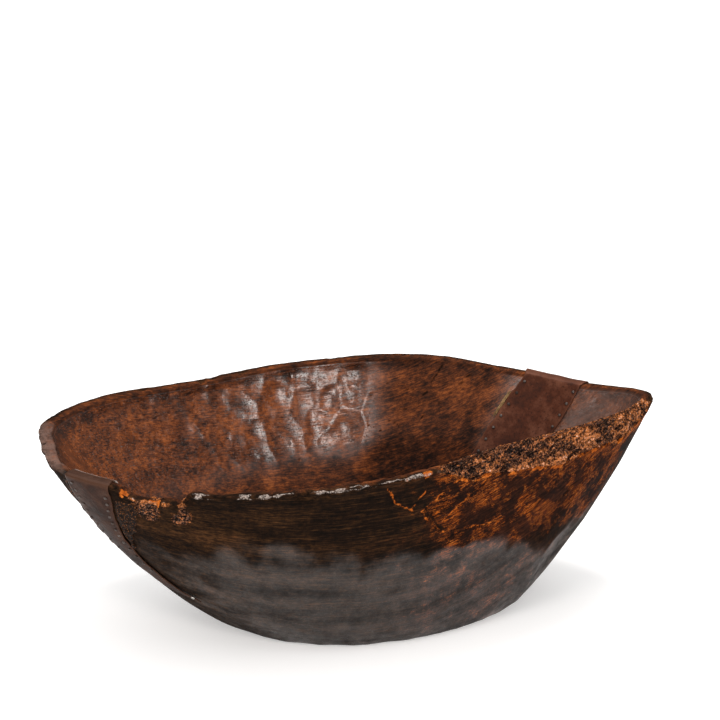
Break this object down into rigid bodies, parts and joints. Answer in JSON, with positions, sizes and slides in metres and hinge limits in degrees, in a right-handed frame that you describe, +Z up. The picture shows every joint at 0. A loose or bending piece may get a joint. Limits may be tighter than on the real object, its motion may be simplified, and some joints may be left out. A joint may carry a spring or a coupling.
{
  "type": "carved wooden bowl",
  "caption": "Deep egg-shaped wooden bowl hollowed from one trunk, with an uneven broken rim mended with nailed sheet iron, pitch and bast.",
  "frame": {"origin": "middle of the bowl's box, on the table it stands on", "axes": "+X along the bowl towards its pointed end, +Y across it to the far side, +Z up"},
  "size_m": [0.6774, 0.3846, 0.2265],
  "materials": {
    "carved_wood": "dark red-brown hardwood, oiled and worn, satin to glossy",
    "near_sheet_iron": "thin sheet iron, browned with rust and grease",
    "far_sheet_iron": "thin sheet iron, red-brown patina, satin",
    "tack_iron": "hand-cut iron tacks, heads rubbed bright",
    "bright_nail": "nail head rubbed bright",
    "pitch": null,
    "bast": "dry packed plant fibre"
  },
  "bodies": {
    "root": {"bowl_body": "carved_wood", "near_patch_sheet": "near_sheet_iron", "near_patch_back_tacks": "tack_iron", "near_patch_front_tacks": "tack_iron", "near_patch_flap_tacks": "tack_iron", "near_patch_tip_nail": "bright_nail", "pitch_back_bead": "pitch", "pitch_front_bead": "pitch", "far_patch_sheet": "far_sheet_iron", "far_patch_left_tacks": "tack_iron", "far_patch_right_tacks": "tack_iron", "far_patch_outer_tacks": "tack_iron", "bast_caulking": "bast"}
  },
  "joints": []
}
